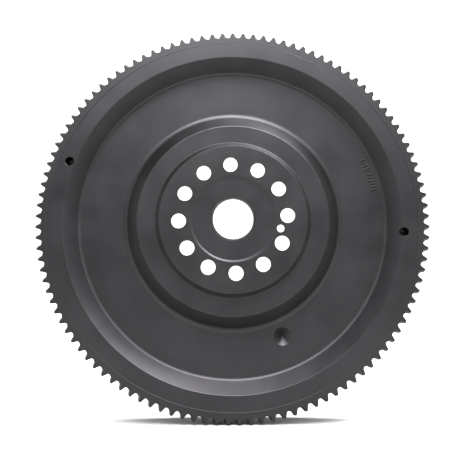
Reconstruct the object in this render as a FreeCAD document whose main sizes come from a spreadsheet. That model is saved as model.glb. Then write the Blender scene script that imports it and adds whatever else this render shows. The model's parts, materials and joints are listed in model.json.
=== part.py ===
import FreeCAD, Part
import os
import Sketcher

# Flywheel of a truck diesel engine, with its starter ring gear and clutch-cover dowels.
# Millimetres. The crank axis is Y. The engine side faces -Y and the clutch side faces +Y.
# The origin is on the crank axis, in the plane of the face that seats on the crankshaft flange.
# Angles are seen from the engine side: 0 points along +X and 90 along +Z.

# A size that follows others is a formula, written as in the sheet.

SIZES = {
    # Distances along the axis from the crank seat, towards the clutch
    "rim_face": 4.0,
    "annulus_face": 7.0,
    "dish_face": 24.0,
    "cover_face": 48.0,
    "friction_lift": 2.0,
    "flange_thickness": 22.0,
    "recess_depth": 2.0,
    # Radii of the engine side
    "bore_radius": 25.1,
    "bore_lead_run": 2.2,
    "bore_lead_depth": 5.0,
    "recess_radius": 51.3,
    "seat_radius": 91.0,
    "seat_wall_run": 5.5,
    "annulus_radius": 118.5,
    "annulus_wall_run": 17.0,
    "dish_inner_radius": "=annulus_radius + annulus_wall_run",
    "cover_wall": 22.0,
    "dish_outer_radius": "=cover_circle/2 - cover_wall",
    "rim_cone_run": 15.0,
    "rim_inner_radius": "=dish_outer_radius + rim_cone_run",
    # Radii of the clutch side
    "cover_seat_width": 14.0,
    "friction_outer_radius": "=cover_circle/2 - cover_seat_width",
    "friction_wall_run": 10.0,
    "friction_inner_radius": "=pocket_radius + friction_wall_run",
    "friction_edge_run": 2.0,
    "pocket_radius": 98.0,
    "boss_wall": 12.0,
    "boss_radius": "=pilot_radius + boss_wall",
    "boss_height": 12.0,
    "pilot_radius": 36.0,
    "pilot_depth": 19.0,
    # Seat of the ring gear and the shoulder behind it
    "gear_band": 7.71,
    "gear_seat_radius": "=pitch_radius - tooth_dedendum - gear_band",
    "shoulder_height": 4.0,
    # Crankshaft bolts and locating dowel hole
    "crank_bolt_count": 12,
    "crank_bolt_circle": 133.8,
    "crank_bolt_phase": 2.95,
    "crank_bolt_hole_radius": 9.0,
    "locating_hole_reach": 59.3,
    "locating_hole_phase": -12.2,
    "locating_hole_radius": 4.65,
    # Blind timing-pin holes in the rim and the balance drilling in the dish
    "timing_hole_radius": 5.5,
    "timing_hole_depth": 16.0,
    "upper_timing_inset": 11.3,
    "upper_timing_reach": "=gear_seat_radius - upper_timing_inset",
    "upper_timing_phase": 160.6,
    "lower_timing_inset": 16.0,
    "lower_timing_reach": "=gear_seat_radius - lower_timing_inset",
    "lower_timing_phase": -4.35,
    "balance_radius": 11.0,
    "balance_depth": 9.0,
    "balance_inset": 20.0,
    "balance_reach": "=dish_inner_radius + balance_inset",
    "balance_phase": -67.0,
    # Clutch cover: tapped holes and dowels on one circle
    "cover_bolt_count": 12,
    "cover_edge_distance": 15.5,
    "cover_circle": "=2*(gear_seat_radius + shoulder_height - cover_edge_distance)",
    "cover_bolt_phase": 15.0,
    "cover_tap_radius": 4.25,
    "cover_tap_depth": 22.0,
    "dowel_radius": 6.0,
    "dowel_seat_depth": 16.0,
    "dowel_stand_out": 10.0,
    "dowel_phase": 0.0,
    "dowel_edge": 1.0,
    # Starter ring gear: stub teeth of module 4.233
    "tooth_count": 113,
    "pitch_radius": 239.18,
    "tooth_addendum": 3.18,
    "tooth_dedendum": 3.97,
    "tooth_share": 0.47,
    "flank_angle": 25.0,
    "gear_width": 18.0,
    "gear_edge": 0.8,
    "gear_phase": -0.86,
    "bevel_width": 2.2,
    "bevel_depth": 4.0,
    # Edge breaks and corner rounds
    "foot_round": 5.0,
    "crest_round": 1.0,
    "small_edge": 0.6,
    "bore_edge": 1.4,
}
DRILL_POINT_ANGLE = 118.0
FULL_TURN = 360
HALF_TURN = 180
QUARTER_TURN = 90
ROUND_TOLERANCE = 0.01

# Places worked out from the sizes, as expressions
GEAR_BACK = "(sizes.rim_face + sizes.gear_width)"
TIP_RADIUS = "(sizes.pitch_radius + sizes.tooth_addendum)"
ROOT_RADIUS = "(sizes.pitch_radius - sizes.tooth_dedendum)"
TOOTH_PITCH = "(2*pi*sizes.pitch_radius/sizes.tooth_count)"
HALF_GAP = f"({TOOTH_PITCH}*(1 - sizes.tooth_share)/2)"
FRICTION_FACE = "(sizes.cover_face + sizes.friction_lift)"
BODY_RADIUS = "(sizes.gear_seat_radius + sizes.shoulder_height)"
BOSS_FACE = "(sizes.flange_thickness + sizes.boss_height)"
FAR_DOWEL_PHASE = f"(sizes.dowel_phase + {HALF_TURN})"

document = FreeCAD.newDocument("flywheel")
sheet = document.addObject("Spreadsheet::Sheet", "sizes")


def fill_sheet():
    """Give every size a cell with an alias, then fill in its number or formula."""
    for row, name in enumerate(SIZES, start=1):
        sheet.set(f"A{row}", name)
        sheet.setAlias(f"B{row}", name)
    for row, content in enumerate(SIZES.values(), start=1):
        sheet.set(f"B{row}", str(content))
    document.recompute()


def size(expression):
    """Work out an expression of sheet sizes as a number."""
    result = sheet.evalExpression(str(expression))
    return float(getattr(result, "Value", result))


def along(reach, phase):
    """Expressions for the place at a distance from the axis in a direction."""
    return f"{reach}*cos({phase})", f"{reach}*sin({phase})"


def add_body(label):
    body = document.addObject("PartDesign::Body", label)
    body.Label = label
    return body


def origin_item(body, role):
    return next(item for item in body.Origin.OriginFeatures if item.Role == role)


def add_sketch(body, name, plane="XZ_Plane", height="0"):
    """Start a sketch on an origin plane; height is its distance from the crank seat along +Y."""
    sketch = body.newObject("Sketcher::SketchObject", name)
    sketch.AttachmentSupport = (origin_item(body, plane), [""])
    sketch.MapMode = "FlatFace"
    if plane == "XZ_Plane":
        sketch.setExpression("AttachmentOffset.Base.z", f"-({height})")
    return sketch


def pin_point(sketch, element, end, across, up):
    """Tie one end of a sketch element to two expressions."""
    for kind, axis, expression in (("DistanceX", -2, across), ("DistanceY", -1, up)):
        if str(expression) == "0":
            sketch.addConstraint(Sketcher.Constraint("PointOnObject", element, end, axis))
            continue
        index = sketch.addConstraint(
            Sketcher.Constraint(kind, -1, 1, element, end, size(expression)))
        sketch.setExpression(f"Constraints[{index}]", str(expression))


def add_outline(sketch, corners):
    """Draw a closed outline of straight lines whose corners are pairs of expressions."""
    places = [FreeCAD.Vector(size(across), size(up), 0) for across, up in corners]
    count = len(corners)
    for index in range(count):
        line = Part.LineSegment(places[index], places[(index + 1) % count])
        sketch.addGeometry(line, False)
    for index in range(count):
        following = (index + 1) % count
        sketch.addConstraint(Sketcher.Constraint("Coincident", index, 2, following, 1))
    for index, (across, up) in enumerate(corners):
        pin_point(sketch, index, 1, across, up)


def add_circle(sketch, across, up, radius):
    """Draw a circle with its centre and radius tied to expressions."""
    middle = FreeCAD.Vector(size(across), size(up), 0)
    circle = Part.Circle(middle, FreeCAD.Vector(0, 0, 1), size(radius))
    element = sketch.addGeometry(circle, False)
    pin_point(sketch, element, 3, across, up)
    index = sketch.addConstraint(Sketcher.Constraint("Radius", element, size(radius)))
    sketch.setExpression(f"Constraints[{index}]", str(radius))


def add_through_holes(body, name, places, radius, height):
    """Cut straight holes through the body towards the clutch."""
    sketch = add_sketch(body, f"{name}_sketch", height=height)
    for across, up in places:
        add_circle(sketch, across, up, radius)
    pocket = body.newObject("PartDesign::Pocket", name)
    pocket.Profile = sketch
    pocket.Type = "ThroughAll"
    return pocket


def add_drilled_holes(body, name, places, radius, depth, height, from_clutch_side):
    """Drill blind holes with a pointed bottom from one side."""
    sketch = add_sketch(body, f"{name}_sketch", height=height)
    for across, up in places:
        add_circle(sketch, across, up, radius)
    document.recompute()
    hole = body.newObject("PartDesign::Hole", name)
    hole.Profile = sketch
    hole.DepthType = "Dimension"
    hole.DrillPoint = "Angled"
    hole.DrillPointAngle = DRILL_POINT_ANGLE
    hole.Reversed = from_clutch_side
    hole.setExpression("Diameter", f"2*{radius}")
    hole.setExpression("Depth", depth)
    return hole


def repeat_round_axis(body, name, features, count):
    """Repeat features evenly round the crank axis and make the result the body's tip."""
    pattern = body.newObject("PartDesign::PolarPattern", name)
    pattern.Originals = features
    pattern.Axis = (origin_item(body, "Y_Axis"), [""])
    pattern.Angle = FULL_TURN
    pattern.setExpression("Occurrences", count)
    for feature in features:
        feature.Visibility = False
    body.Tip = pattern
    document.recompute()
    return pattern


def is_round_axis(curve):
    """Tell whether a curve is a circle centred on the crank axis."""
    if not isinstance(curve, Part.Circle):
        return False
    return abs(curve.Center.x) + abs(curve.Center.z) < ROUND_TOLERANCE


def ring_edges(feature, rings):
    """Names of the circular edges round the crank axis at given radii and heights."""
    wanted = [(size(radius), size(height)) for radius, height in rings]
    names = []
    for number, edge in enumerate(feature.Shape.Edges, start=1):
        curve = edge.Curve
        if not is_round_axis(curve):
            continue
        if any(abs(curve.Radius - radius) + abs(curve.Center.y - height) < ROUND_TOLERANCE
               for radius, height in wanted):
            names.append(f"Edge{number}")
    if len(names) < len(wanted):
        raise ValueError(f"{feature.Label}: found {len(names)} of {len(wanted)} ring edges")
    return names


def dress(body, kind, name, rings, amount):
    """Round or chamfer ring edges of the body's tip."""
    document.recompute()
    base = body.Tip
    feature = body.newObject(f"PartDesign::{kind}", name)
    feature.Base = (base, ring_edges(base, rings))
    feature.setExpression("Radius" if kind == "Fillet" else "Size", amount)
    body.Tip = feature
    document.recompute()
    return feature


def make_flywheel_body():
    """Turned iron casting: crank flange, dished web, heavy rim, friction face and pilot boss."""
    body = add_body("flywheel_body")
    bore_mouth = "(sizes.bore_radius + sizes.bore_lead_run)"
    recess_rim = "(sizes.recess_radius + sizes.recess_depth)"
    annulus_inner = "(sizes.seat_radius + sizes.seat_wall_run)"
    pilot_floor = f"({BOSS_FACE} - sizes.pilot_depth)"
    friction_edge = "(sizes.friction_outer_radius + sizes.friction_edge_run)"

    section = add_sketch(body, "body_section", plane="XY_Plane")
    add_outline(section, [
        (bore_mouth, "sizes.recess_depth"),
        ("sizes.recess_radius", "sizes.recess_depth"),
        (recess_rim, "0"),
        ("sizes.seat_radius", "0"),
        (annulus_inner, "sizes.annulus_face"),
        ("sizes.annulus_radius", "sizes.annulus_face"),
        ("sizes.dish_inner_radius", "sizes.dish_face"),
        ("sizes.dish_outer_radius", "sizes.dish_face"),
        ("sizes.rim_inner_radius", "sizes.rim_face"),
        ("sizes.gear_seat_radius", "sizes.rim_face"),
        ("sizes.gear_seat_radius", GEAR_BACK),
        (BODY_RADIUS, GEAR_BACK),
        (BODY_RADIUS, "sizes.cover_face"),
        (friction_edge, "sizes.cover_face"),
        ("sizes.friction_outer_radius", FRICTION_FACE),
        ("sizes.friction_inner_radius", FRICTION_FACE),
        ("sizes.pocket_radius", "sizes.flange_thickness"),
        ("sizes.boss_radius", "sizes.flange_thickness"),
        ("sizes.boss_radius", BOSS_FACE),
        ("sizes.pilot_radius", BOSS_FACE),
        ("sizes.pilot_radius", pilot_floor),
        ("sizes.bore_radius", pilot_floor),
        ("sizes.bore_radius", "(sizes.recess_depth + sizes.bore_lead_depth)"),
    ])
    turning = body.newObject("PartDesign::Revolution", "turning")
    turning.Profile = section
    turning.ReferenceAxis = (section, ["V_Axis"])
    turning.Angle = FULL_TURN
    document.recompute()

    dress(body, "Fillet", "web_feet", [
        ("sizes.dish_inner_radius", "sizes.dish_face"),
        ("sizes.dish_outer_radius", "sizes.dish_face"),
        ("sizes.pocket_radius", "sizes.flange_thickness"),
        ("sizes.boss_radius", "sizes.flange_thickness"),
    ], "sizes.foot_round")
    dress(body, "Fillet", "web_crests", [
        ("sizes.annulus_radius", "sizes.annulus_face"),
        (annulus_inner, "sizes.annulus_face"),
    ], "sizes.crest_round")
    dress(body, "Chamfer", "outer_edges", [
        (BODY_RADIUS, "sizes.cover_face"),
        ("sizes.pilot_radius", BOSS_FACE),
        ("sizes.boss_radius", BOSS_FACE),
    ], "sizes.bore_edge")
    dress(body, "Chamfer", "fine_edges", [
        (bore_mouth, "sizes.recess_depth"),
        ("sizes.seat_radius", "0"),
        ("sizes.rim_inner_radius", "sizes.rim_face"),
        ("sizes.friction_inner_radius", FRICTION_FACE),
    ], "sizes.small_edge")

    crank_bolt = add_through_holes(
        body, "crank_bolt_hole",
        [along("sizes.crank_bolt_circle/2", "sizes.crank_bolt_phase")],
        "sizes.crank_bolt_hole_radius", "0")
    repeat_round_axis(body, "crank_bolt_holes", [crank_bolt], "sizes.crank_bolt_count")

    add_through_holes(
        body, "locating_hole",
        [along("sizes.locating_hole_reach", "sizes.locating_hole_phase")],
        "sizes.locating_hole_radius", "0")
    add_drilled_holes(
        body, "timing_holes",
        [along("sizes.upper_timing_reach", "sizes.upper_timing_phase"),
         along("sizes.lower_timing_reach", "sizes.lower_timing_phase")],
        "sizes.timing_hole_radius", "sizes.timing_hole_depth", "sizes.rim_face", False)
    add_drilled_holes(
        body, "dowel_seats",
        [along("sizes.cover_circle/2", "sizes.dowel_phase"),
         along("sizes.cover_circle/2", FAR_DOWEL_PHASE)],
        "sizes.dowel_radius", "sizes.dowel_seat_depth", "sizes.cover_face", True)
    cover_tap = add_drilled_holes(
        body, "cover_tapped_hole",
        [along("sizes.cover_circle/2", "sizes.cover_bolt_phase")],
        "sizes.cover_tap_radius", "sizes.cover_tap_depth", "sizes.cover_face", True)
    document.recompute()
    repeat_round_axis(body, "cover_tapped_holes", [cover_tap], "sizes.cover_bolt_count")
    add_balance_drilling(body)
    return body


def add_balance_drilling(body):
    """Shallow conical drilling in the dish that takes out the casting's unbalance."""
    across, up = along("sizes.balance_reach", "sizes.balance_phase")
    cone = body.newObject("PartDesign::SubtractiveCone", "balance_drilling")
    cone.Placement = FreeCAD.Placement(
        FreeCAD.Vector(), FreeCAD.Rotation(FreeCAD.Vector(1, 0, 0), -QUARTER_TURN))
    cone.Radius2 = 0
    cone.setExpression("Radius1", "sizes.balance_radius")
    cone.setExpression("Height", "sizes.balance_depth")
    cone.setExpression("Placement.Base.x", across)
    cone.setExpression("Placement.Base.y", "sizes.dish_face")
    cone.setExpression("Placement.Base.z", up)
    body.Tip = cone


def draw_tooth_gap(sketch):
    """Draw one gap between teeth: straight flanks and a round root, open past the tips."""
    lean = "tan(sizes.flank_angle)"
    mouth = f"({TIP_RADIUS} + sizes.tooth_addendum)"
    half_at_mouth = f"({HALF_GAP} + ({mouth} - sizes.pitch_radius)*{lean})"
    half_at_root = f"({HALF_GAP} - sizes.tooth_dedendum*{lean})"
    root_round = f"({half_at_root}*cos(sizes.flank_angle)/(1 - sin(sizes.flank_angle)))"
    foot = f"({ROOT_RADIUS} + {root_round}*(1 - sin(sizes.flank_angle)))"
    half_at_foot = f"({root_round}*cos(sizes.flank_angle))"

    upper_mouth = FreeCAD.Vector(size(mouth), size(half_at_mouth), 0)
    lower_mouth = FreeCAD.Vector(size(mouth), -size(half_at_mouth), 0)
    upper_foot = FreeCAD.Vector(size(foot), size(half_at_foot), 0)
    lower_foot = FreeCAD.Vector(size(foot), -size(half_at_foot), 0)
    root_middle = FreeCAD.Vector(size(ROOT_RADIUS), 0, 0)

    sketch.addGeometry(Part.LineSegment(lower_mouth, upper_mouth), False)
    sketch.addGeometry(Part.LineSegment(upper_mouth, upper_foot), False)
    sketch.addGeometry(Part.Arc(upper_foot, root_middle, lower_foot), False)
    sketch.addGeometry(Part.LineSegment(lower_foot, lower_mouth), False)
    sketch.addConstraint(Sketcher.Constraint("Coincident", 0, 2, 1, 1))
    sketch.addConstraint(Sketcher.Constraint("Coincident", 1, 2, 2, 1))
    sketch.addConstraint(Sketcher.Constraint("Coincident", 2, 2, 3, 1))
    sketch.addConstraint(Sketcher.Constraint("Coincident", 3, 2, 0, 1))
    pin_point(sketch, 0, 1, mouth, f"-{half_at_mouth}")
    pin_point(sketch, 0, 2, mouth, half_at_mouth)
    pin_point(sketch, 1, 2, foot, half_at_foot)
    pin_point(sketch, 3, 1, foot, f"-{half_at_foot}")
    index = sketch.addConstraint(Sketcher.Constraint("Radius", 2, size(root_round)))
    sketch.setExpression(f"Constraints[{index}]", root_round)


def draw_lead_in(sketch):
    """Draw the corner that the lead-in bevel takes off one flank, looking along that flank."""
    across_gap = f"{HALF_GAP}*cos(sizes.flank_angle)"
    flank = f"({across_gap} - sizes.pitch_radius*sin(sizes.flank_angle))"
    face = "sizes.rim_face"
    add_outline(sketch, [
        (face, flank),
        (f"({face} + sizes.bevel_depth)", flank),
        (face, f"({flank} + sizes.bevel_width)"),
    ])


def make_starter_ring_gear():
    """Steel ring shrunk on the rim, with stub teeth bevelled where the pinion enters."""
    body = add_body("starter_ring_gear")
    blank_sketch = add_sketch(body, "ring_blank_sketch", height="sizes.rim_face")
    add_circle(blank_sketch, "0", "0", TIP_RADIUS)
    add_circle(blank_sketch, "0", "0", "sizes.gear_seat_radius")
    blank = body.newObject("PartDesign::Pad", "ring_blank")
    blank.Profile = blank_sketch
    blank.Reversed = True
    blank.setExpression("Length", "sizes.gear_width")
    document.recompute()
    dress(body, "Chamfer", "ring_edges", [
        (TIP_RADIUS, "sizes.rim_face"),
        (TIP_RADIUS, GEAR_BACK),
    ], "sizes.gear_edge")

    gap_sketch = add_sketch(body, "tooth_gap_sketch", height="sizes.rim_face")
    draw_tooth_gap(gap_sketch)
    gap = body.newObject("PartDesign::Pocket", "tooth_gap")
    gap.Profile = gap_sketch
    gap.Type = "ThroughAll"

    bevel_sketch = add_sketch(body, "lead_in_sketch", plane="YZ_Plane")
    bevel_sketch.AttachmentOffset = FreeCAD.Placement(
        FreeCAD.Vector(), FreeCAD.Rotation(FreeCAD.Vector(1, 0, 0), -size("sizes.flank_angle")))
    flank_start = (f"({HALF_GAP}*sin(sizes.flank_angle) + sizes.pitch_radius*cos(sizes.flank_angle)"
                   " - sizes.tooth_dedendum/cos(sizes.flank_angle))")
    bevel_sketch.setExpression("AttachmentOffset.Base.y", f"{flank_start}*sin(sizes.flank_angle)")
    bevel_sketch.setExpression("AttachmentOffset.Base.z", f"{flank_start}*cos(sizes.flank_angle)")
    draw_lead_in(bevel_sketch)
    bevel = body.newObject("PartDesign::Pocket", "lead_in")
    bevel.Profile = bevel_sketch
    bevel.Reversed = True
    bevel.setExpression("Length", "2*(sizes.tooth_addendum + sizes.tooth_dedendum)")
    document.recompute()
    repeat_round_axis(body, "teeth", [gap, bevel], "sizes.tooth_count")
    body.Placement = FreeCAD.Placement(
        FreeCAD.Vector(), FreeCAD.Rotation(FreeCAD.Vector(0, -1, 0), size("sizes.gear_phase")))
    return body


def make_cover_dowel(label, phase):
    """Ground steel pin pressed into the clutch side; its free end centres the clutch cover."""
    body = add_body(label)
    across, up = along("sizes.cover_circle/2", phase)
    floor = "(sizes.cover_face - sizes.dowel_seat_depth)"
    sketch = add_sketch(body, f"{label}_sketch", height=floor)
    add_circle(sketch, across, up, "sizes.dowel_radius")
    pin = body.newObject("PartDesign::Pad", f"{label}_pin")
    pin.Profile = sketch
    pin.Reversed = True
    pin.setExpression("Length", "sizes.dowel_seat_depth + sizes.dowel_stand_out")
    document.recompute()
    ends = [f"Edge{number}" for number, edge in enumerate(pin.Shape.Edges, start=1)
            if isinstance(edge.Curve, Part.Circle)]
    edge_break = body.newObject("PartDesign::Chamfer", f"{label}_ends")
    edge_break.Base = (pin, ends)
    edge_break.setExpression("Size", "sizes.dowel_edge")
    body.Tip = edge_break
    return body


def check_document(bodies):
    """Stop if any feature failed, cut nothing or gave a broken solid."""
    document.recompute()
    for item in document.Objects:
        if any(state in ("Invalid", "Error") for state in item.State):
            raise ValueError(f"{item.Label}: {item.State}")
        if item.TypeId in ("PartDesign::Pocket", "PartDesign::Hole", "PartDesign::SubtractiveCone"):
            base = item.BaseFeature
            if not item.Shape.Volume < base.Shape.Volume:
                raise ValueError(f"{item.Label} cuts nothing")
    for body in bodies:
        shape = body.Shape
        if shape.isNull() or not shape.isValid() or len(shape.Solids) != 1:
            raise ValueError(f"{body.Label}: not one valid solid")


def write_parts(bodies):
    os.makedirs("parts", exist_ok=True)
    for body in bodies:
        body.Shape.exportStep(f"parts/{body.Label}.step")
        box = body.Shape.BoundBox
        print(f"{body.Label}: {body.Shape.Volume / 1000:.1f} cm3,"
              f" {box.XLength:.1f} x {box.YLength:.1f} x {box.ZLength:.1f} mm")


fill_sheet()
parts = [
    make_flywheel_body(),
    make_starter_ring_gear(),
    make_cover_dowel("cover_dowel_right", "sizes.dowel_phase"),
    make_cover_dowel("cover_dowel_left", FAR_DOWEL_PHASE),
]
check_document(parts)
write_parts(parts)
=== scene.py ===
import json
import math
import bpy
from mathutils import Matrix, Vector


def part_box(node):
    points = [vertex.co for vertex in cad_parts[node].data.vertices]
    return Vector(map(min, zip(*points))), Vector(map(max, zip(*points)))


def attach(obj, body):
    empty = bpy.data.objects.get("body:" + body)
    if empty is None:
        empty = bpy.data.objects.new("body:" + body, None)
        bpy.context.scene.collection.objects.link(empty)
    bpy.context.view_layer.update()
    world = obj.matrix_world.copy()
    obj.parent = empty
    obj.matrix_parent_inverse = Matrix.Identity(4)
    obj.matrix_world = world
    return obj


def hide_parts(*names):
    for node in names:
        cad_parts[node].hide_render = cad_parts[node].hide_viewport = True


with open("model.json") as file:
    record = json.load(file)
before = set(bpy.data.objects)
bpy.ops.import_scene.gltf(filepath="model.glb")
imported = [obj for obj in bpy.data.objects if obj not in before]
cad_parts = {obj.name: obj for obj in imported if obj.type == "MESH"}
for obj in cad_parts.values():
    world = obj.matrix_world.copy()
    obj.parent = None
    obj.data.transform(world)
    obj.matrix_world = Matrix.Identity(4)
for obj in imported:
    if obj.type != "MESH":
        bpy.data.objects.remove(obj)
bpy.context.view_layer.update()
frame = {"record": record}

# ---------------------------------------------------------------------------------------------
# Where things are
# The crank axis is Y through the origin, the engine side faces -Y and the wheel stands on its
# teeth. Every size below is in millimetres and every length in the scene in metres.

MM = 0.001
mounts = {mount["name"]: mount for mount in frame["record"]["mounts"]}
body_low, body_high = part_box("flywheel_body")
gear_low, gear_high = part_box("starter_ring_gear")
crank_seat_y = body_low.y / MM
friction_y = body_high.y / MM
cover_y = mounts["cover_bolts"]["pos_m"][1] / MM
rim_y = gear_low.y / MM
gear_back_y = gear_high.y / MM
floor_z = min(body_low.z, gear_low.z)

# ---------------------------------------------------------------------------------------------
# Camera: in front of the engine side, a little below the crank axis and looking up along it.

CAMERA_PLACE = (-11.3, -654.5, -77.5)
CAMERA_RISE = 8.73
CAMERA_TURN = -0.64
CAMERA_LENS = 42.18
SENSOR_WIDTH = 36.0
CAMERA_DROP = -0.0663

camera_data = bpy.data.cameras.new("camera")
camera_data.sensor_width = SENSOR_WIDTH
camera_data.lens = CAMERA_LENS
camera_data.shift_y = CAMERA_DROP
camera_data.clip_start = 0.01
camera_data.clip_end = 50.0
camera = bpy.data.objects.new("camera", camera_data)
camera.location = Vector(CAMERA_PLACE) * MM
camera.rotation_euler = (math.radians(90 + CAMERA_RISE), 0, math.radians(CAMERA_TURN))
bpy.context.scene.collection.objects.link(camera)
bpy.context.scene.camera = camera

# ---------------------------------------------------------------------------------------------
# Studio: a pale floor that curves up into the backdrop, a wide soft box high in front, a strong
# one overhead to the right, a dim one at each side, one for the backdrop, and a dim even room.
# The wheel stands on the floor.

FLOOR_WIDTH = 9000.0
FLOOR_FRONT = -5000.0
BACKDROP_Y = 1400.0
BACKDROP_SWEEP = 900.0
BACKDROP_HEIGHT = 4500.0
SWEEP_STEPS = 24
PAPER_COLOUR = "A4A4A3"
PAPER_ROUGHNESS = 0.9
DAYLIGHT_TINT = (0.97, 1.0, 1.0)
WHEEL_CENTRE = (0, 0, 0)
ROOM_STRENGTH = 0.2


def linear(hex_colour):
    """Turn an sRGB hex colour into the linear colour that a shader socket takes."""
    channels = [int(hex_colour[i:i + 2], 16) / 255 for i in (0, 2, 4)]
    spread = [c / 12.92 if c <= 0.04045 else ((c + 0.055) / 1.055) ** 2.4 for c in channels]
    return (*spread, 1.0)


def new_material(name):
    """Start a node material and return it with its tree and its surface shader."""
    material = bpy.data.materials.new(name)
    material.use_nodes = True
    tree = material.node_tree
    return material, tree, tree.nodes["Principled BSDF"]


def add_node(tree, kind, settings=None, inputs=None):
    """Add a node, set its properties, and set or link its input sockets."""
    node = tree.nodes.new(kind)
    for key, value in (settings or {}).items():
        setattr(node, key, value)
    for key, value in (inputs or {}).items():
        if isinstance(value, bpy.types.NodeSocket):
            tree.links.new(value, node.inputs[key])
        else:
            node.inputs[key].default_value = value
    return node


def select_only(thing):
    bpy.ops.object.select_all(action="DESELECT")
    thing.select_set(True)
    bpy.context.view_layer.objects.active = thing


def make_backdrop():
    """Sweep a floor strip back and up, as a roll of studio paper hangs."""
    bpy.ops.object.select_all(action="DESELECT")
    bpy.ops.mesh.primitive_plane_add(size=1, location=(0, 0, 0))
    paper = bpy.context.object
    paper.name = "studio_paper"
    bpy.ops.object.mode_set(mode="EDIT")
    bpy.ops.mesh.select_all(action="SELECT")
    bpy.ops.transform.resize(
        value=(FLOOR_WIDTH * MM, (BACKDROP_Y - FLOOR_FRONT) * MM, 1), center_override=(0, 0, 0))
    bpy.ops.transform.translate(value=(0, (BACKDROP_Y + FLOOR_FRONT) / 2 * MM, floor_z))
    bpy.ops.mesh.select_mode(type="EDGE")
    bpy.ops.mesh.select_all(action="DESELECT")
    bpy.ops.object.mode_set(mode="OBJECT")
    near_back = (BACKDROP_Y - 0.1) * MM
    for edge in paper.data.edges:
        ends = [paper.data.vertices[i].co.y for i in edge.vertices]
        edge.select = min(ends) > near_back
    bpy.ops.object.mode_set(mode="EDIT")
    step = math.radians(90 / SWEEP_STEPS)
    for turn in range(SWEEP_STEPS):
        heading = step * (turn + 0.5)
        reach = 2 * BACKDROP_SWEEP * MM * math.sin(step / 2)
        bpy.ops.mesh.extrude_region_move(TRANSFORM_OT_translate={
            "value": (0, reach * math.cos(heading), reach * math.sin(heading))})
    bpy.ops.mesh.extrude_region_move(TRANSFORM_OT_translate={
        "value": (0, 0, BACKDROP_HEIGHT * MM)})
    bpy.ops.object.mode_set(mode="OBJECT")
    bpy.ops.object.shade_smooth()
    material, tree, shader = new_material("studio_paper")
    shader.inputs["Base Color"].default_value = linear(PAPER_COLOUR)
    shader.inputs["Roughness"].default_value = PAPER_ROUGHNESS
    paper.data.materials.append(material)
    return paper


def add_soft_light(name, place, aim, width, height, power):
    """Add a rectangular soft box that points at a place; sizes in mm, power in watts."""
    data = bpy.data.lights.new(name, "AREA")
    data.shape = "RECTANGLE"
    data.size = width * MM
    data.size_y = height * MM
    data.energy = power
    data.color = DAYLIGHT_TINT
    light = bpy.data.objects.new(name, data)
    light.location = Vector(place) * MM
    facing = (Vector(aim) - Vector(place)).to_track_quat("-Z", "Y")
    light.rotation_euler = facing.to_euler()
    bpy.context.scene.collection.objects.link(light)
    return light


make_backdrop()
add_soft_light("key_box", (150, -1450, 1220), WHEEL_CENTRE, 2200, 800, 30)
add_soft_light("top_box", (400, -560, 1600), WHEEL_CENTRE, 2400, 440, 165)
add_soft_light("left_box", (-1900, -350, 500), WHEEL_CENTRE, 1400, 1500, 19)
add_soft_light("right_box", (1900, -350, 500), WHEEL_CENTRE, 1400, 1500, 16)
add_soft_light("backdrop_box", (0, 500, 1600), (0, 1600, 100), 3000, 600, 190)

world = bpy.data.worlds.new("studio_room")
world.use_nodes = True
world.node_tree.nodes["Background"].inputs["Color"].default_value = (1, 1, 1, 1)
world.node_tree.nodes["Background"].inputs["Strength"].default_value = ROOM_STRENGTH
bpy.context.scene.world = world
bpy.context.scene.view_settings.view_transform = "Standard"

# ---------------------------------------------------------------------------------------------
# Flywheel body
# A grey-iron casting turned all over, then dark phosphated and oiled: crank flange, dished web,
# heavy rim. The clutch side has a ground friction face, tapped holes and dowel seats.

TURN_STEPS = 360
BORE_RADIUS = mounts["crank_spigot_bore"]["dims"]["r_mm"]
PILOT_RADIUS = mounts["pilot_bearing_bore"]["dims"]["r_mm"]
RECESS_RADIUS = 51.3
RECESS_DEPTH = 2.0
BORE_MOUTH_RADIUS = 27.3
BORE_LEAD_DEPTH = 5.0
SEAT_RADIUS = 91.0
SEAT_FOOT_RADIUS = 96.5
ANNULUS_Y = 7.0
ANNULUS_RADIUS = 118.5
DISH_Y = 24.0
DISH_INNER_RADIUS = 135.5
DISH_OUTER_RADIUS = 194.0
RIM_INNER_RADIUS = 209.0
GEAR_SEAT_RADIUS = 227.5
BODY_RADIUS = body_high.x / MM
FRICTION_OUTER_RADIUS = 202.0
FRICTION_EDGE_RUN = 2.0
FRICTION_INNER_RADIUS = 108.0
POCKET_RADIUS = 98.0
POCKET_Y = 22.0
BOSS_RADIUS = 48.0
BOSS_Y = 34.0
PILOT_FLOOR_Y = 15.0
FINE_EDGE = 0.3
SMALL_EDGE = 0.4
PLAIN_EDGE = 0.5
BORE_EDGE = 0.6
CREST_ROUND = 0.8
ANNULUS_ROUND = 0.9
SEAT_FOOT_ROUND = 1.0
TURNED_CHAMFER = 1.4
DISH_INNER_ROUND = 4.0
DISH_OUTER_ROUND = 2.6
POCKET_ROUND = 3.0
SAME_PLACE = 1e-3
MERGE_DISTANCE = 1e-6


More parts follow.
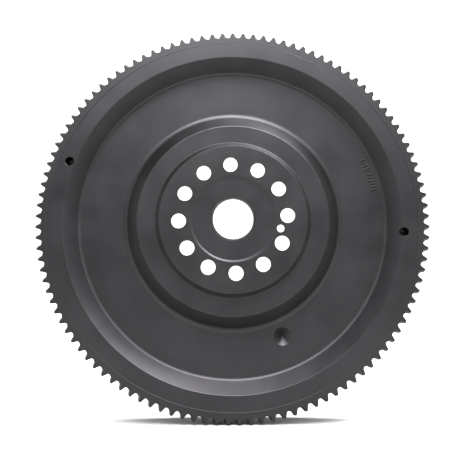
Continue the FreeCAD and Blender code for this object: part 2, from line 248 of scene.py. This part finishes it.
def turn(name, corners, steps=TURN_STEPS):
    """Turn a solid about the Y axis from its half section.

    Each corner is (radius, y, cut): cut is how far along its sides the corner is rounded off.
    A section that starts and ends on the axis makes a solid bar, any other one a closed ring.
    """
    bpy.ops.object.select_all(action="DESELECT")
    bpy.ops.mesh.primitive_plane_add(size=MM, location=(0, 0, 0))
    solid = bpy.context.object
    solid.name = name
    solid.data.name = name
    ring = corners[0][0] > 0
    bpy.ops.object.mode_set(mode="EDIT")
    bpy.ops.mesh.select_mode(type="VERT")
    bpy.ops.mesh.select_all(action="SELECT")
    bpy.ops.mesh.merge(type="CENTER")
    bpy.ops.transform.translate(value=(corners[0][0] * MM, corners[0][1] * MM, 0))
    for before, after in zip(corners, corners[1:]):
        move = ((after[0] - before[0]) * MM, (after[1] - before[1]) * MM, 0)
        bpy.ops.mesh.extrude_region_move(TRANSFORM_OT_translate={"value": move})
    if ring:
        bpy.ops.mesh.select_all(action="DESELECT")
        bpy.ops.object.mode_set(mode="OBJECT")
        solid.data.vertices[0].select = True
        solid.data.vertices[len(corners) - 1].select = True
        bpy.ops.object.mode_set(mode="EDIT")
        bpy.ops.mesh.edge_face_add()
    for cut in sorted({corner[2] for corner in corners if corner[2] > 0}):
        round_corners(solid, [c for c in corners if c[2] == cut], cut)
    bpy.ops.mesh.select_all(action="SELECT")
    bpy.ops.mesh.spin(
        steps=steps, angle=2 * math.pi, use_auto_merge=True, center=(0, 0, 0), axis=(0, 1, 0))
    bpy.ops.mesh.select_all(action="SELECT")
    bpy.ops.mesh.remove_doubles(threshold=MERGE_DISTANCE)
    bpy.ops.mesh.normals_make_consistent(inside=False)
    bpy.ops.object.mode_set(mode="OBJECT")
    return solid


def round_corners(solid, corners, cut):
    """Round corners of the section being drawn, in more steps where more is cut."""
    bpy.ops.mesh.select_all(action="DESELECT")
    bpy.ops.object.mode_set(mode="OBJECT")
    for vertex in solid.data.vertices:
        vertex.select = any(
            abs(vertex.co.x / MM - radius) + abs(vertex.co.y / MM - y) < SAME_PLACE
            for radius, y, _ in corners)
    bpy.ops.object.mode_set(mode="EDIT")
    bpy.ops.mesh.bevel(
        offset=cut * MM, segments=max(2, min(6, round(cut * 2))), affect="VERTICES", profile=0.5)


flywheel = turn("turned_flywheel", [
    (BORE_MOUTH_RADIUS, RECESS_DEPTH, PLAIN_EDGE),
    (RECESS_RADIUS, RECESS_DEPTH, PLAIN_EDGE),
    (RECESS_RADIUS + RECESS_DEPTH, crank_seat_y, SMALL_EDGE),
    (SEAT_RADIUS, crank_seat_y, CREST_ROUND),
    (SEAT_FOOT_RADIUS, ANNULUS_Y, SEAT_FOOT_ROUND),
    (ANNULUS_RADIUS, ANNULUS_Y, ANNULUS_ROUND),
    (DISH_INNER_RADIUS, DISH_Y, DISH_INNER_ROUND),
    (DISH_OUTER_RADIUS, DISH_Y, DISH_OUTER_ROUND),
    (RIM_INNER_RADIUS, rim_y, CREST_ROUND),
    (GEAR_SEAT_RADIUS, rim_y, SMALL_EDGE),
    (GEAR_SEAT_RADIUS, gear_back_y, 0),
    (BODY_RADIUS, gear_back_y, PLAIN_EDGE),
    (BODY_RADIUS, cover_y, TURNED_CHAMFER),
    (FRICTION_OUTER_RADIUS + FRICTION_EDGE_RUN, cover_y, FINE_EDGE),
    (FRICTION_OUTER_RADIUS, friction_y, SMALL_EDGE),
    (FRICTION_INNER_RADIUS, friction_y, CREST_ROUND),
    (POCKET_RADIUS, POCKET_Y, POCKET_ROUND),
    (BOSS_RADIUS, POCKET_Y, POCKET_ROUND),
    (BOSS_RADIUS, BOSS_Y, TURNED_CHAMFER),
    (PILOT_RADIUS, BOSS_Y, TURNED_CHAMFER),
    (PILOT_RADIUS, PILOT_FLOOR_Y, FINE_EDGE),
    (BORE_RADIUS, PILOT_FLOOR_Y, BORE_EDGE),
    (BORE_RADIUS, RECESS_DEPTH + BORE_LEAD_DEPTH, PLAIN_EDGE),
])

CRANK_BOLT_COUNT = mounts["crank_bolts"]["dims"]["count"]
CRANK_BOLT_REACH = mounts["crank_bolts"]["dims"]["pcd_mm"] / 2
CRANK_BOLT_RADIUS = mounts["crank_bolts"]["dims"]["hole_r_mm"]
CRANK_BOLT_PHASE = 2.95
LOCATING_HOLE = (59.3, -12.2)
TIMING_HOLES = ((216.2, 160.6), (211.5, -4.35))
PIN_HOLE_RADIUS = 4.65
TIMING_RADIUS = 5.5
TIMING_DEPTH = 16.0
COVER_REACH = mounts["cover_bolts"]["dims"]["pcd_mm"] / 2
COVER_BOLT_COUNT = mounts["cover_bolts"]["dims"]["count"]
COVER_BOLT_PHASE = 15.0
TAP_RADIUS = mounts["cover_bolts"]["dims"]["hole_r_mm"]
THREAD_RADIUS = 5.0
THREAD_PITCH = 1.5
TAP_DEPTH = 22.0
DOWEL_RADIUS = 6.0
DOWEL_PHASES = (0.0, 180.0)
SEAT_DEPTH = 16.0
BALANCE_PLACE = (155.5, -67.0)
BALANCE_RADIUS = 11.0
BALANCE_DEPTH = 9.0
BALANCE_TIP = 0.1
POINT_SLOPE = math.tan(math.radians(59))
HOLE_STEPS = 48
TAP_STEPS = 32
BALANCE_STEPS = 96
HOLE_CHAMFER = 0.35
TIMING_CHAMFER = 0.3
SEAT_CHAMFER = 0.5
TAP_CHAMFER = 0.4
TOOL_OVERRUN = 1.0


def move_to(solid, reach, phase):
    """Carry a turned solid from the crank axis to its place, keeping the object at the origin."""
    select_only(solid)
    bpy.ops.object.mode_set(mode="EDIT")
    bpy.ops.mesh.select_all(action="SELECT")
    angle = math.radians(phase)
    bpy.ops.transform.translate(
        value=(reach * math.cos(angle) * MM, 0, reach * math.sin(angle) * MM))
    bpy.ops.object.mode_set(mode="OBJECT")
    return solid


def join_all(solids):
    bpy.ops.object.select_all(action="DESELECT")
    for solid in solids:
        solid.select_set(True)
    bpy.context.view_layer.objects.active = solids[0]
    bpy.ops.object.join()
    return solids[0]


def combine(solid, tool, operation):
    """Cut a tool out of a solid or weld it on, then throw the tool away."""
    select_only(solid)
    modifier = solid.modifiers.new(operation.lower(), "BOOLEAN")
    modifier.operation = operation
    modifier.solver = "EXACT"
    modifier.object = tool
    bpy.ops.object.modifier_apply(modifier=modifier.name)
    bpy.data.objects.remove(tool)


def through_tool(radius, near_y, far_y, chamfer):
    """A cutter for a straight hole that is chamfered at both faces."""
    flare = radius + chamfer + TOOL_OVERRUN
    return turn("hole_tool", [
        (0, near_y - TOOL_OVERRUN, 0),
        (flare, near_y - TOOL_OVERRUN, 0),
        (radius, near_y + chamfer, 0),
        (radius, far_y - chamfer, 0),
        (flare, far_y + TOOL_OVERRUN, 0),
        (0, far_y + TOOL_OVERRUN, 0),
    ], HOLE_STEPS)


def drilled_tool(radius, mouth_y, depth, side, chamfer):
    """A cutter for a drilled hole; side is +1 when the drill travels along +Y."""
    flare = radius + chamfer + TOOL_OVERRUN
    return turn("hole_tool", [
        (0, mouth_y - side * TOOL_OVERRUN, 0),
        (flare, mouth_y - side * TOOL_OVERRUN, 0),
        (radius, mouth_y + side * chamfer, 0),
        (radius, mouth_y + side * depth, 0),
        (0, mouth_y + side * (depth + radius / POINT_SLOPE), 0),
    ], HOLE_STEPS)


def tapped_tool(mouth_y, depth):
    """A cutter for a tapped hole from the clutch side. The thread is drawn as closed rings."""
    start_y = mouth_y + TOOL_OVERRUN
    flare = THREAD_RADIUS + TAP_CHAMFER + TOOL_OVERRUN
    corners = [(0, start_y, 0), (flare, start_y, 0)]
    crest_y = mouth_y - TAP_CHAMFER
    while crest_y > mouth_y - depth + 2 * THREAD_PITCH:
        corners.append((THREAD_RADIUS, crest_y, 0))
        corners.append((TAP_RADIUS, crest_y - THREAD_PITCH / 2, 0))
        crest_y -= THREAD_PITCH
    corners.append((TAP_RADIUS, mouth_y - depth, 0))
    corners.append((0, mouth_y - depth - TAP_RADIUS / POINT_SLOPE, 0))
    return turn("hole_tool", corners, TAP_STEPS)


tools = []
for number in range(CRANK_BOLT_COUNT):
    phase = CRANK_BOLT_PHASE + 360 / CRANK_BOLT_COUNT * number
    hole = through_tool(CRANK_BOLT_RADIUS, crank_seat_y, POCKET_Y, HOLE_CHAMFER)
    tools.append(move_to(hole, CRANK_BOLT_REACH, phase))
tools.append(move_to(
    through_tool(PIN_HOLE_RADIUS, crank_seat_y, POCKET_Y, HOLE_CHAMFER), *LOCATING_HOLE))
for place in TIMING_HOLES:
    hole = drilled_tool(TIMING_RADIUS, rim_y, TIMING_DEPTH, 1, TIMING_CHAMFER)
    tools.append(move_to(hole, *place))
for phase in DOWEL_PHASES:
    seat = drilled_tool(DOWEL_RADIUS, cover_y, SEAT_DEPTH, -1, SEAT_CHAMFER)
    tools.append(move_to(seat, COVER_REACH, phase))
for number in range(COVER_BOLT_COUNT):
    phase = COVER_BOLT_PHASE + 360 / COVER_BOLT_COUNT * number
    tools.append(move_to(tapped_tool(cover_y, TAP_DEPTH), COVER_REACH, phase))
tools.append(move_to(turn("balance_tool", [
    (0, DISH_Y - TOOL_OVERRUN, 0),
    (BALANCE_RADIUS * (1 + TOOL_OVERRUN / BALANCE_DEPTH), DISH_Y - TOOL_OVERRUN, 0),
    (BALANCE_RADIUS * BALANCE_TIP, DISH_Y + BALANCE_DEPTH * (1 - BALANCE_TIP), 0),
    (0, DISH_Y + BALANCE_DEPTH, 0),
], BALANCE_STEPS), *BALANCE_PLACE))
combine(flywheel, join_all(tools), "DIFFERENCE")

# Cast-in marks: a short row of plain raised strokes on the dish, near the rim.
MARK_REACH = 185.0
MARK_HEIGHT = 1.0
MARK_WIDTH = 1.5
MARK_EDGE = 0.3
MARK_LENGTHS = (7.5, 4.0, 7.5, 7.5, 3.0, 7.5, 5.0, 7.5, 4.0, 7.5, 7.5)
MARK_START = 25.0
MARK_STEP = -1.25


def raised_stroke(length, phase):
    """One stroke lying along the radius: a straight bar with rounded edges."""
    bpy.ops.object.select_all(action="DESELECT")
    bpy.ops.mesh.primitive_cube_add(size=1, location=(0, 0, 0))
    stroke = bpy.context.object
    bpy.ops.object.mode_set(mode="EDIT")
    bpy.ops.mesh.select_all(action="SELECT")
    bpy.ops.transform.resize(
        value=(length * MM, 2 * MARK_HEIGHT * MM, MARK_WIDTH * MM), center_override=(0, 0, 0))
    bpy.ops.mesh.bevel(offset=MARK_EDGE * MM, segments=2, affect="EDGES")
    bpy.ops.transform.translate(value=(MARK_REACH * MM, DISH_Y * MM, 0))
    bpy.ops.transform.rotate(
        value=math.radians(phase), orient_axis="Y", center_override=(0, 0, 0))
    bpy.ops.object.mode_set(mode="OBJECT")
    return stroke


strokes = [raised_stroke(length, MARK_START + MARK_STEP * place)
           for place, length in enumerate(MARK_LENGTHS)]
combine(flywheel, join_all(strokes), "UNION")


SMOOTH_ANGLE = math.radians(20)


def smooth(solid):
    """Shade smooth up to an angle and keep flat faces flat beside their rounded edges."""
    select_only(solid)
    bpy.ops.object.shade_smooth_by_angle(angle=SMOOTH_ANGLE)
    modifier = solid.modifiers.new("flat_faces", "WEIGHTED_NORMAL")
    modifier.keep_sharp = True
    modifier.weight = 100
    bpy.ops.object.modifier_apply(modifier=modifier.name)


smooth(flywheel)


PATCH_SIZE = 45.0
PATCH_SHINE = 0.03


def radius_of(tree):
    """Distance from the crank axis in metres, and the object coordinates."""
    place = add_node(tree, "ShaderNodeTexCoord").outputs["Object"]
    split = add_node(tree, "ShaderNodeSeparateXYZ", inputs={"Vector": place})
    flat = add_node(tree, "ShaderNodeCombineXYZ", inputs={
        "X": split.outputs["X"], "Y": split.outputs["Z"]})
    length = add_node(tree, "ShaderNodeVectorMath", {"operation": "LENGTH"}, {
        0: flat.outputs["Vector"]})
    return length.outputs["Value"], place


def turned_metal(name, colour, roughness, groove, groove_depth, grain, grain_depth, mottle):
    """Metal cut on a lathe: fine rings round the crank axis over a fine grain.

    groove and grain are the sizes in millimetres that the rings and the grain are drawn at,
    and mottle is how far the colour strays in patches of PATCH_SIZE.
    """
    material, tree, shader = new_material(name)
    radius, place = radius_of(tree)
    rings = add_node(tree, "ShaderNodeTexNoise", {"noise_dimensions": "1D"}, {
        "W": radius, "Scale": 1 / (groove * MM), "Detail": 2.0, "Roughness": 0.6})
    grains = add_node(tree, "ShaderNodeTexNoise", inputs={
        "Vector": place, "Scale": 1 / (grain * MM), "Detail": 3.0, "Roughness": 0.6})
    patches = add_node(tree, "ShaderNodeTexNoise", inputs={
        "Vector": place, "Scale": 1 / (PATCH_SIZE * MM), "Detail": 4.0, "Roughness": 0.55})
    dull = add_node(tree, "ShaderNodeMapRange", inputs={
        "Value": patches.outputs["Fac"], "From Min": 0.3, "From Max": 0.7,
        "To Min": roughness - PATCH_SHINE, "To Max": roughness + PATCH_SHINE})
    tint = add_node(tree, "ShaderNodeMapRange", inputs={
        "Value": patches.outputs["Fac"], "From Min": 0.3, "From Max": 0.7,
        "To Min": 1 - mottle, "To Max": 1 + mottle})
    colour_node = add_node(tree, "ShaderNodeVectorMath", {"operation": "SCALE"}, {
        0: linear(colour)[:3], "Scale": tint.outputs["Result"]})
    grained = add_node(tree, "ShaderNodeBump", inputs={
        "Height": grains.outputs["Fac"], "Strength": 1.0, "Distance": grain_depth * MM})
    ringed = add_node(tree, "ShaderNodeBump", inputs={
        "Height": rings.outputs["Fac"], "Strength": 1.0, "Distance": groove_depth * MM,
        "Normal": grained.outputs["Normal"]})
    shader.inputs["Metallic"].default_value = 1.0
    tree.links.new(colour_node.outputs["Vector"], shader.inputs["Base Color"])
    tree.links.new(dull.outputs["Result"], shader.inputs["Roughness"])
    tree.links.new(ringed.outputs["Normal"], shader.inputs["Normal"])
    return material


# Grey iron, turned, then manganese phosphated and oiled. The lathe feed is about 0.3 mm a turn;
# the rings are drawn coarser so that they show at this distance.
flywheel.data.materials.append(turned_metal(
    "phosphated_turned_iron", "3B393B", 0.46,
    groove=1.6, groove_depth=0.02, grain=0.9, grain_depth=0.012, mottle=0.1))
# Grey iron ground bright for the clutch plate.
flywheel.data.materials.append(turned_metal(
    "ground_iron_face", "8C8B88", 0.36,
    groove=1.2, groove_depth=0.006, grain=0.8, grain_depth=0.002, mottle=0.03))
# The same iron on the walls of the holes through the flange, coloured near-white and glossy:
# painted light that makes the holes read bright where their walls would lie in shade.
flywheel.data.materials.append(turned_metal(
    "reamed_iron", "C9C7C2", 0.24,
    groove=0.9, groove_depth=0.004, grain=0.7, grain_depth=0.003, mottle=0.02))
flange_holes = [(*LOCATING_HOLE, PIN_HOLE_RADIUS)] + [
    (CRANK_BOLT_REACH, CRANK_BOLT_PHASE + 360 / CRANK_BOLT_COUNT * number, CRANK_BOLT_RADIUS)
    for number in range(CRANK_BOLT_COUNT)]


WALL_MARGIN = 0.3
FACE_MARGIN = 0.05
ALONG_AXIS = 0.9
ACROSS_AXIS = 0.1


def on_hole_wall(face):
    """Tell whether a face is the straight wall of a hole through the crank flange."""
    if abs(face.normal.y) > ACROSS_AXIS:
        return False
    for reach, phase, radius in flange_holes:
        across = face.center.x / MM - reach * math.cos(math.radians(phase))
        up = face.center.z / MM - reach * math.sin(math.radians(phase))
        if math.hypot(across, up) < radius + WALL_MARGIN:
            return True
    return False


for face in flywheel.data.polygons:
    if face.center.y / MM > friction_y - FACE_MARGIN and face.normal.y > ALONG_AXIS:
        face.material_index = 1
    elif on_hole_wall(face):
        # hole walls take the near-white material: painted light in place of their shade
        face.material_index = 2

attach(flywheel, "root")
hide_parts("flywheel_body")

# ---------------------------------------------------------------------------------------------
# Starter ring gear
# A steel ring shrunk on the rim's seat, with stub teeth. The teeth are hobbed, induction
# hardened, and bevelled on the flank where the starter pinion comes in, then phosphated.

TOOTH_COUNT = 113
PITCH_RADIUS = 239.18
ADDENDUM = 3.18
DEDENDUM = 3.97
TOOTH_SHARE = 0.47
FLANK_ANGLE = math.radians(25)
GAP_PHASE = -0.86
TIP_EDGE = 0.8
SEAT_EDGE = 0.4
LEAD_IN_WIDTH = 2.2
LEAD_IN_DEPTH = 4.0
LEAD_IN_SPARE = 0.25
LEAD_IN_ROOT_SHARE = 0.8
LEAD_IN_BEYOND_TIP = 4.0
ROOT_STEPS = 8
TOOTH_EDGE = 0.22
TOOTH_EDGE_ANGLE = 32
RADIUS_MARGIN = 0.01
LEVEL_MARGIN = 1e-6
SEAM_ANGLE_MARGIN = 1e-5
SEAM_MERGE_DISTANCE = 2e-6


def gap_outline():
    """Corners of one pitch of the ring, (x, z), with the gap's middle along +X."""
    half_gap = 2 * math.pi * PITCH_RADIUS / TOOTH_COUNT * (1 - TOOTH_SHARE) / 2
    tip = PITCH_RADIUS + ADDENDUM
    root = PITCH_RADIUS - DEDENDUM
    half_root = half_gap - DEDENDUM * math.tan(FLANK_ANGLE)
    bend = half_root * math.cos(FLANK_ANGLE) / (1 - math.sin(FLANK_ANGLE))
    side = []
    for step in range(ROOT_STEPS + 1):
        sweep = (math.pi / 2 - FLANK_ANGLE) * step / ROOT_STEPS
        side.append((root + bend - bend * math.cos(sweep), bend * math.sin(sweep)))
    # The flank meets the tip circle where each depends on the other: four rounds settle it.
    corner_z = half_gap
    for _ in range(4):
        corner_x = math.sqrt(tip ** 2 - corner_z ** 2)
        corner_z = half_gap + (corner_x - PITCH_RADIUS) * math.tan(FLANK_ANGLE)
    side.append((corner_x, corner_z))
    half_pitch = math.pi / TOOTH_COUNT
    corner_angle = math.atan2(corner_z, corner_x)
    middle_angle = (corner_angle + half_pitch) / 2
    side.append((tip * math.cos(middle_angle), tip * math.sin(middle_angle)))
    side.append((tip * math.cos(half_pitch), tip * math.sin(half_pitch)))
    inner = [(GEAR_SEAT_RADIUS * math.cos(half_pitch * part),
              GEAR_SEAT_RADIUS * math.sin(half_pitch * part)) for part in (1, 0.5, 0, -0.5, -1)]
    return side + inner + [(x, -z) for x, z in reversed(side)][:-1]


def draw_prism(name, corners, near_y, travel):
    """Extrude a closed outline of (x, z) corners from one height by a travel in metres."""
    bpy.ops.object.select_all(action="DESELECT")
    bpy.ops.mesh.primitive_plane_add(size=MM, location=(0, 0, 0))
    solid = bpy.context.object
    solid.name = name
    solid.data.name = name
    bpy.ops.object.mode_set(mode="EDIT")
    bpy.ops.mesh.select_mode(type="VERT")
    bpy.ops.mesh.select_all(action="SELECT")
    bpy.ops.mesh.merge(type="CENTER")
    bpy.ops.transform.translate(value=(corners[0][0] * MM, near_y * MM, corners[0][1] * MM))
    for before, after in zip(corners, corners[1:]):
        move = ((after[0] - before[0]) * MM, 0, (after[1] - before[1]) * MM)
        bpy.ops.mesh.extrude_region_move(TRANSFORM_OT_translate={"value": move})
    bpy.ops.mesh.select_all(action="SELECT")
    bpy.ops.mesh.edge_face_add()
    bpy.ops.mesh.extrude_region_move(TRANSFORM_OT_translate={"value": travel})
    bpy.ops.mesh.select_all(action="SELECT")
    bpy.ops.mesh.normals_make_consistent(inside=False)
    bpy.ops.object.mode_set(mode="OBJECT")
    return solid


def bevel_ring_edges(solid, radius, offset):
    """Chamfer the edges of the two side faces that lie at one radius."""
    select_only(solid)
    bpy.ops.object.mode_set(mode="EDIT")
    bpy.ops.mesh.select_mode(type="EDGE")
    bpy.ops.mesh.select_all(action="DESELECT")
    bpy.ops.object.mode_set(mode="OBJECT")
    for edge in solid.data.edges:
        ends = [solid.data.vertices[i].co for i in edge.vertices]
        edge.select = (
            all(abs(math.hypot(end.x, end.z) / MM - radius) < RADIUS_MARGIN for end in ends)
            and abs(ends[0].y - ends[1].y) < LEVEL_MARGIN)
    bpy.ops.object.mode_set(mode="EDIT")
    bpy.ops.mesh.bevel(offset=offset * MM, segments=1, affect="EDGES")
    bpy.ops.object.mode_set(mode="OBJECT")


def lead_in_tool():
    """The wedge that takes the corner off the clockwise flank of a tooth.

    It starts as a bar that lies in the tooth along the flank. Its inner edge at the far end is
    then drawn back on to the flank, which leaves the slope that the pinion slides in on.
    """
    half_gap = 2 * math.pi * PITCH_RADIUS / TOOTH_COUNT * (1 - TOOTH_SHARE) / 2
    along = (math.cos(FLANK_ANGLE), math.sin(FLANK_ANGLE))
    into = (-along[1], along[0])
    low = -DEDENDUM * LEAD_IN_ROOT_SHARE
    high = ADDENDUM + LEAD_IN_BEYOND_TIP
    clear = -0.1
    width = LEAD_IN_WIDTH * (1 + LEAD_IN_SPARE)
    corners = [
        (PITCH_RADIUS + along[0] * reach + into[0] * depth,
         half_gap + along[1] * reach + into[1] * depth)
        for reach, depth in ((low, clear), (high, clear), (high, width), (low, width))]
    wedge = draw_prism(
        "wedge", corners, rim_y - LEAD_IN_DEPTH * LEAD_IN_SPARE,
        (0, LEAD_IN_DEPTH * (1 + LEAD_IN_SPARE) * MM, 0))
    bpy.ops.object.mode_set(mode="EDIT")
    bpy.ops.mesh.select_all(action="DESELECT")
    bpy.ops.object.mode_set(mode="OBJECT")
    for vertex in wedge.data.vertices:
        far = vertex.co.y / MM > rim_y + LEAD_IN_DEPTH / 2
        off = (vertex.co.x / MM - PITCH_RADIUS) * into[0]
        off += (vertex.co.z / MM - half_gap) * into[1]
        vertex.select = far and off > width / 2
    bpy.ops.object.mode_set(mode="EDIT")
    bpy.ops.transform.translate(value=(-width * into[0] * MM, 0, -width * into[1] * MM))
    bpy.ops.object.mode_set(mode="OBJECT")
    return wedge


half_pitch = math.pi / TOOTH_COUNT
gear = draw_prism(
    "toothed_ring", gap_outline(), rim_y, (0, (gear_back_y - rim_y) * MM, 0))
bevel_ring_edges(gear, PITCH_RADIUS + ADDENDUM, TIP_EDGE)
bevel_ring_edges(gear, GEAR_SEAT_RADIUS, SEAT_EDGE)
combine(gear, lead_in_tool(), "DIFFERENCE")
select_only(gear)
bpy.ops.object.mode_set(mode="EDIT")
bpy.ops.mesh.select_mode(type="FACE")
bpy.ops.mesh.select_all(action="DESELECT")
bpy.ops.object.mode_set(mode="OBJECT")
for face in gear.data.polygons:
    face.select = all(
        abs(abs(math.atan2(gear.data.vertices[i].co.z, gear.data.vertices[i].co.x)) - half_pitch)
        < SEAM_ANGLE_MARGIN for i in face.vertices)
bpy.ops.object.mode_set(mode="EDIT")
bpy.ops.mesh.delete(type="FACE")
bpy.ops.mesh.select_all(action="SELECT")
bpy.ops.mesh.spin(
    steps=TOOTH_COUNT, angle=2 * math.pi, dupli=True, use_auto_merge=True,
    center=(0, 0, 0), axis=(0, 1, 0))
bpy.ops.mesh.select_all(action="SELECT")
bpy.ops.mesh.remove_doubles(threshold=SEAM_MERGE_DISTANCE)
bpy.ops.mesh.normals_make_consistent(inside=False)
bpy.ops.transform.rotate(
    value=math.radians(GAP_PHASE), orient_axis="Y", center_override=(0, 0, 0))
bpy.ops.object.mode_set(mode="OBJECT")
select_only(gear)
edges = gear.modifiers.new("edges", "BEVEL")
edges.width = TOOTH_EDGE * MM
edges.segments = 1
edges.limit_method = "ANGLE"
edges.angle_limit = math.radians(TOOTH_EDGE_ANGLE)
bpy.ops.object.modifier_apply(modifier=edges.name)
smooth(gear)
# Medium carbon steel, phosphated with the wheel: the iron's colour, a trace duller.
gear.data.materials.append(turned_metal(
    "phosphated_gear_steel", "3B393B", 0.47,
    groove=1.8, groove_depth=0.012, grain=0.8, grain_depth=0.015, mottle=0.05))

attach(gear, "root")
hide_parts("starter_ring_gear")

# ---------------------------------------------------------------------------------------------
# Clutch cover dowels
# Two hardened steel pins, centreless ground, pressed into the clutch side. Their chamfered free
# ends stand out and centre the clutch cover.

PIN_START_Y = cover_y - SEAT_DEPTH
PIN_LENGTH = 26.0
PIN_END_Y = PIN_START_Y + PIN_LENGTH
PIN_CHAMFER = 1.0
PIN_STEPS = 64

# Bearing steel, hardened and ground: bright, with a trace of grinding grain.
pin_steel = turned_metal(
    "ground_pin_steel", "B4B3B0", 0.22,
    groove=0.8, groove_depth=0.002, grain=0.5, grain_depth=0.002, mottle=0.02)


def ground_pin(name, node, phase):
    pin = turn(name, [
        (0, PIN_START_Y, 0),
        (DOWEL_RADIUS, PIN_START_Y, PIN_CHAMFER),
        (DOWEL_RADIUS, PIN_END_Y, PIN_CHAMFER),
        (0, PIN_END_Y, 0),
    ], PIN_STEPS)
    move_to(pin, COVER_REACH, phase)
    smooth(pin)
    pin.data.materials.append(pin_steel)
    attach(pin, "root")
    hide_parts(node)
    return pin


ground_pin("right_dowel", "cover_dowel_right", DOWEL_PHASES[0])
ground_pin("left_dowel", "cover_dowel_left", DOWEL_PHASES[1])
